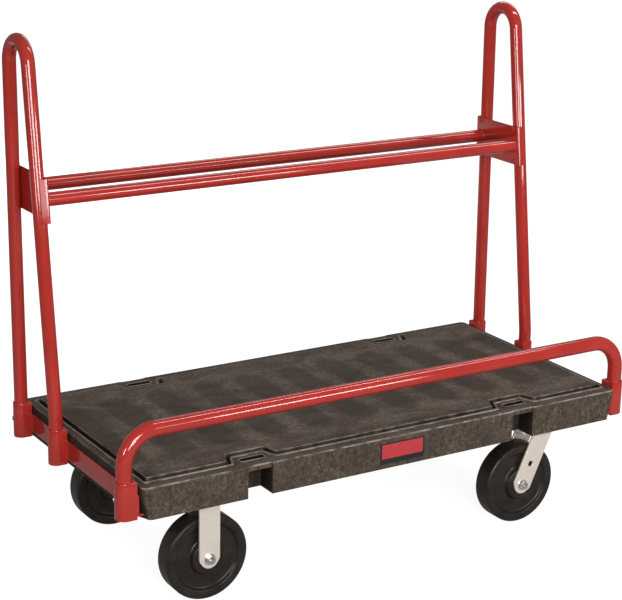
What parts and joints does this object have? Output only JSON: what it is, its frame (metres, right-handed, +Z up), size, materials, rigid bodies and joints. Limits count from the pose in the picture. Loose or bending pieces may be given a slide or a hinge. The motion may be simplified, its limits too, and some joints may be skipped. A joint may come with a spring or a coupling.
{
  "type": "drywall cart",
  "caption": "Low plastic deck on casters with leaning red tube frames at the rear and a low front rail, for moving drywall and other sheets on edge.",
  "frame": {"origin": "on the floor under the middle of the deck", "axes": "+X along the deck towards the swivel casters, +Y towards the leaning frames, +Z up"},
  "size_m": [1.4058, 0.641, 1.2198],
  "materials": {
    "red_paint": "glossy powder coat",
    "deck_plastic": "moulded structural foam with flow marks",
    "zinc_plate": "zinc plated",
    "zinc_fastener": "zinc plated",
    "bare_steel": "ground",
    "phenolic": "moulded phenolic"
  },
  "bodies": {
    "cart": {"deck": "deck_plastic", "left_end_channel": "red_paint", "left_rear_leg_socket": "red_paint", "left_front_leg_socket": "red_paint", "left_rail_socket": "red_paint", "left_a_frame": "red_paint", "left_bracket": "red_paint", "right_end_channel": "red_paint", "right_rear_leg_socket": "red_paint", "right_front_leg_socket": "red_paint", "right_rail_socket": "red_paint", "right_a_frame": "red_paint", "right_bracket": "red_paint", "front_cross_tube": "red_paint", "rear_cross_tube": "red_paint", "front_rail": "red_paint", "bracket_screws": "red_paint", "socket_screws": "zinc_fastener", "channel_bolts": "zinc_fastener", "caster_bolts": "zinc_fastener", "front_rigid_fork": "zinc_plate", "front_swivel_plate": "zinc_plate", "front_kingpin": "bare_steel", "front_kingpin_nut": "bare_steel", "front_rigid_bush": "bare_steel", "front_rigid_axle": "zinc_fastener", "front_rigid_axle_nut": "zinc_fastener", "rear_rigid_fork": "zinc_plate", "rear_swivel_plate": "zinc_plate", "rear_kingpin": "bare_steel", "rear_kingpin_nut": "bare_steel", "rear_rigid_bush": "bare_steel", "rear_rigid_axle": "zinc_fastener", "rear_rigid_axle_nut": "zinc_fastener"},
    "front_swivel": {"front_swivel_fork": "zinc_plate", "front_swivel_balls": "bare_steel", "front_swivel_bush": "bare_steel", "front_swivel_axle": "zinc_fastener", "front_swivel_axle_nut": "zinc_fastener"},
    "front_rigid_roll": {"front_rigid_wheel": "phenolic", "front_rigid_bearing": "bare_steel"},
    "front_swivel_roll": {"front_swivel_wheel": "phenolic", "front_swivel_bearing": "bare_steel"},
    "rear_swivel": {"rear_swivel_fork": "zinc_plate", "rear_swivel_balls": "bare_steel", "rear_swivel_bush": "bare_steel", "rear_swivel_axle": "zinc_fastener", "rear_swivel_axle_nut": "zinc_fastener"},
    "rear_rigid_roll": {"rear_rigid_wheel": "phenolic", "rear_rigid_bearing": "bare_steel"},
    "rear_swivel_roll": {"rear_swivel_wheel": "phenolic", "rear_swivel_bearing": "bare_steel"}
  },
  "joints": [
    {"name": "front_swivel_turn", "type": "hinge", "parent": "cart", "child": "front_swivel", "pos_m": [0.464, -0.235, 0.2], "axis": [0, 0, 1], "continuous": true},
    {"name": "front_swivel_wheel_spin", "type": "hinge", "parent": "front_swivel", "child": "front_swivel_roll", "pos_m": [0.417, -0.235, 0.1015], "axis": [0, 1, 0], "continuous": true},
    {"name": "front_rigid_wheel_spin", "type": "hinge", "parent": "cart", "child": "front_rigid_roll", "pos_m": [-0.464, -0.235, 0.1015], "axis": [0, 1, 0], "continuous": true},
    {"name": "rear_swivel_turn", "type": "hinge", "parent": "cart", "child": "rear_swivel", "pos_m": [0.464, 0.235, 0.2], "axis": [0, 0, 1], "continuous": true},
    {"name": "rear_swivel_wheel_spin", "type": "hinge", "parent": "rear_swivel", "child": "rear_swivel_roll", "pos_m": [0.417, 0.235, 0.1015], "axis": [0, 1, 0], "continuous": true},
    {"name": "rear_rigid_wheel_spin", "type": "hinge", "parent": "cart", "child": "rear_rigid_roll", "pos_m": [-0.464, 0.235, 0.1015], "axis": [0, 1, 0], "continuous": true}
  ]
}
